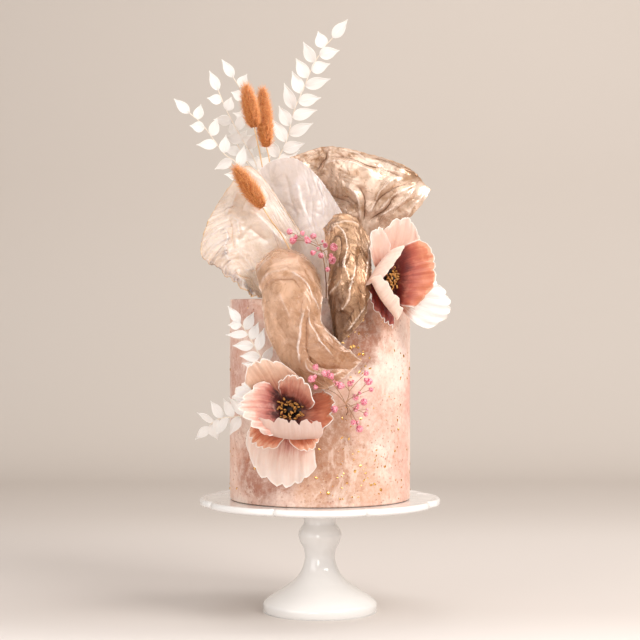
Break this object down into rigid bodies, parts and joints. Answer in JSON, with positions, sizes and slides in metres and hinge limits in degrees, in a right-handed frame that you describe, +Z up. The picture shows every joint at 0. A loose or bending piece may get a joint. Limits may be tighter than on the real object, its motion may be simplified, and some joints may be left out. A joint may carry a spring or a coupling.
{
  "type": "cake",
  "caption": "Tall round marbled cake on a scalloped pedestal stand, dressed with crumpled paper sails, poppies, bleached sprigs, bunny-tail grass and small pink blossoms.",
  "frame": {"origin": "centre of the stand's foot, on the surface that it stands on", "axes": "+Z up along the cake's axis; the dressed face looks along -Y, with the poppy at the cake's top edge on the +X side"},
  "size_m": [0.2337, 0.2232, 0.5029],
  "materials": {
    "porcelain": "gloss",
    "icing": "matte",
    "pale_paper": "satin",
    "gold_paper": "satin",
    "champagne_paper": "satin",
    "bronze_paper": "satin",
    "petal": "matte",
    "heart": "matte",
    "leaf": "matte",
    "tail": "matte",
    "blossom": "matte"
  },
  "bodies": {
    "root": {"stand": "porcelain", "cake": "icing", "pale_sail_right": "pale_paper", "pale_sail_left": "pale_paper", "gold_sail": "gold_paper", "champagne_drape": "champagne_paper", "bronze_drape": "bronze_paper", "front_poppy_low": "petal", "front_poppy_left_back": "petal", "front_poppy_top": "petal", "front_poppy_low_left": "petal", "front_poppy_right": "petal", "front_poppy_low_right": "petal", "front_poppy_inner_left": "petal", "front_poppy_inner_top": "petal", "front_poppy_inner_cup": "petal", "front_poppy_heart": "heart", "top_poppy_low_back": "petal", "top_poppy_top_left": "petal", "top_poppy_right": "petal", "top_poppy_top": "petal", "top_poppy_low_right": "petal", "top_poppy_inner_left": "petal", "top_poppy_inner_low": "petal", "top_poppy_heart": "heart", "sprig_tall": "leaf", "sprig_left_inner": "leaf", "sprig_left_middle": "leaf", "sprig_left_outer": "leaf", "sprig_left_back": "leaf", "sprig_side_up": "leaf", "sprig_side_low": "leaf", "tail_left": "tail", "tail_right": "tail", "tail_low": "tail", "blossoms_top": "blossom", "blossoms_low": "blossom"}
  },
  "joints": []
}
